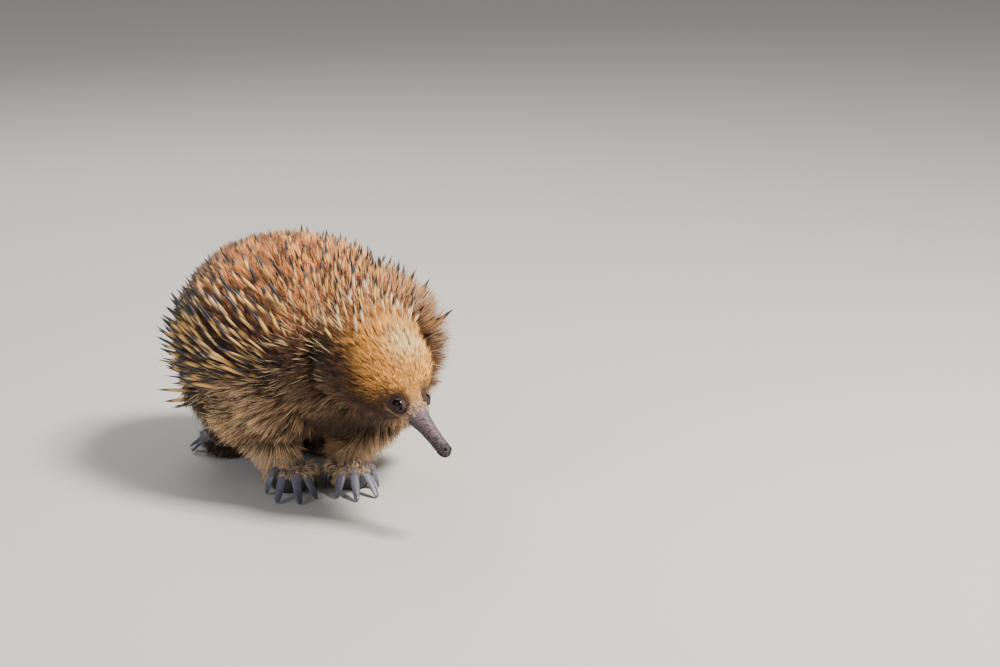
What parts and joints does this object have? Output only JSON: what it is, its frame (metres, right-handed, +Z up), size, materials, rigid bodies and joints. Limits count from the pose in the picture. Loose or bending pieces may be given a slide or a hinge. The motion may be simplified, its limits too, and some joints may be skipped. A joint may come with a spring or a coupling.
{
  "type": "echidna",
  "caption": "Life-size still model of a short-beaked echidna walking with its head low, spines over a furry body, bare beak and clawed feet.",
  "frame": {"origin": "on the floor, under the centre of the bounding box", "axes": "+Z up, -Y the way the animal faces, +X its left side"},
  "size_m": [0.2122, 0.3782, 0.1979],
  "materials": {
    "coat_trunk": "spiny coat, cream and black spines in red-brown fur",
    "coat_head": "short golden fur",
    "coat_leg": "streaked golden-brown fur",
    "beak_skin": "bare dark grey-purple skin",
    "foot_skin": "bare grey wrinkled skin",
    "claw_horn": "slate-blue horn",
    "eye_wet": "wet black eyeball",
    "ear_skin": "bare dark skin"
  },
  "bodies": {
    "root": {"torso": "coat_trunk", "neck": "coat_trunk", "tail": "coat_trunk", "head": "coat_head", "beak": "beak_skin", "eye_left": "eye_wet", "ear_left": "ear_skin", "foreleg_left": "coat_leg", "hindleg_left": "coat_leg", "forefoot_left": "foot_skin", "hindfoot_left": "foot_skin", "claw_fore_left_1": "claw_horn", "claw_fore_left_2": "claw_horn", "claw_fore_left_3": "claw_horn", "claw_fore_left_4": "claw_horn", "claw_fore_left_5": "claw_horn", "claw_hind_left_1": "claw_horn", "claw_hind_left_2": "claw_horn", "claw_hind_left_3": "claw_horn", "claw_hind_left_4": "claw_horn", "claw_hind_left_5": "claw_horn", "eye_right": "eye_wet", "ear_right": "ear_skin", "foreleg_right": "coat_leg", "hindleg_right": "coat_leg", "forefoot_right": "foot_skin", "hindfoot_right": "foot_skin", "claw_fore_right_1": "claw_horn", "claw_fore_right_2": "claw_horn", "claw_fore_right_3": "claw_horn", "claw_fore_right_4": "claw_horn", "claw_fore_right_5": "claw_horn", "claw_hind_right_1": "claw_horn", "claw_hind_right_2": "claw_horn", "claw_hind_right_3": "claw_horn", "claw_hind_right_4": "claw_horn", "claw_hind_right_5": "claw_horn"}
  },
  "joints": []
}
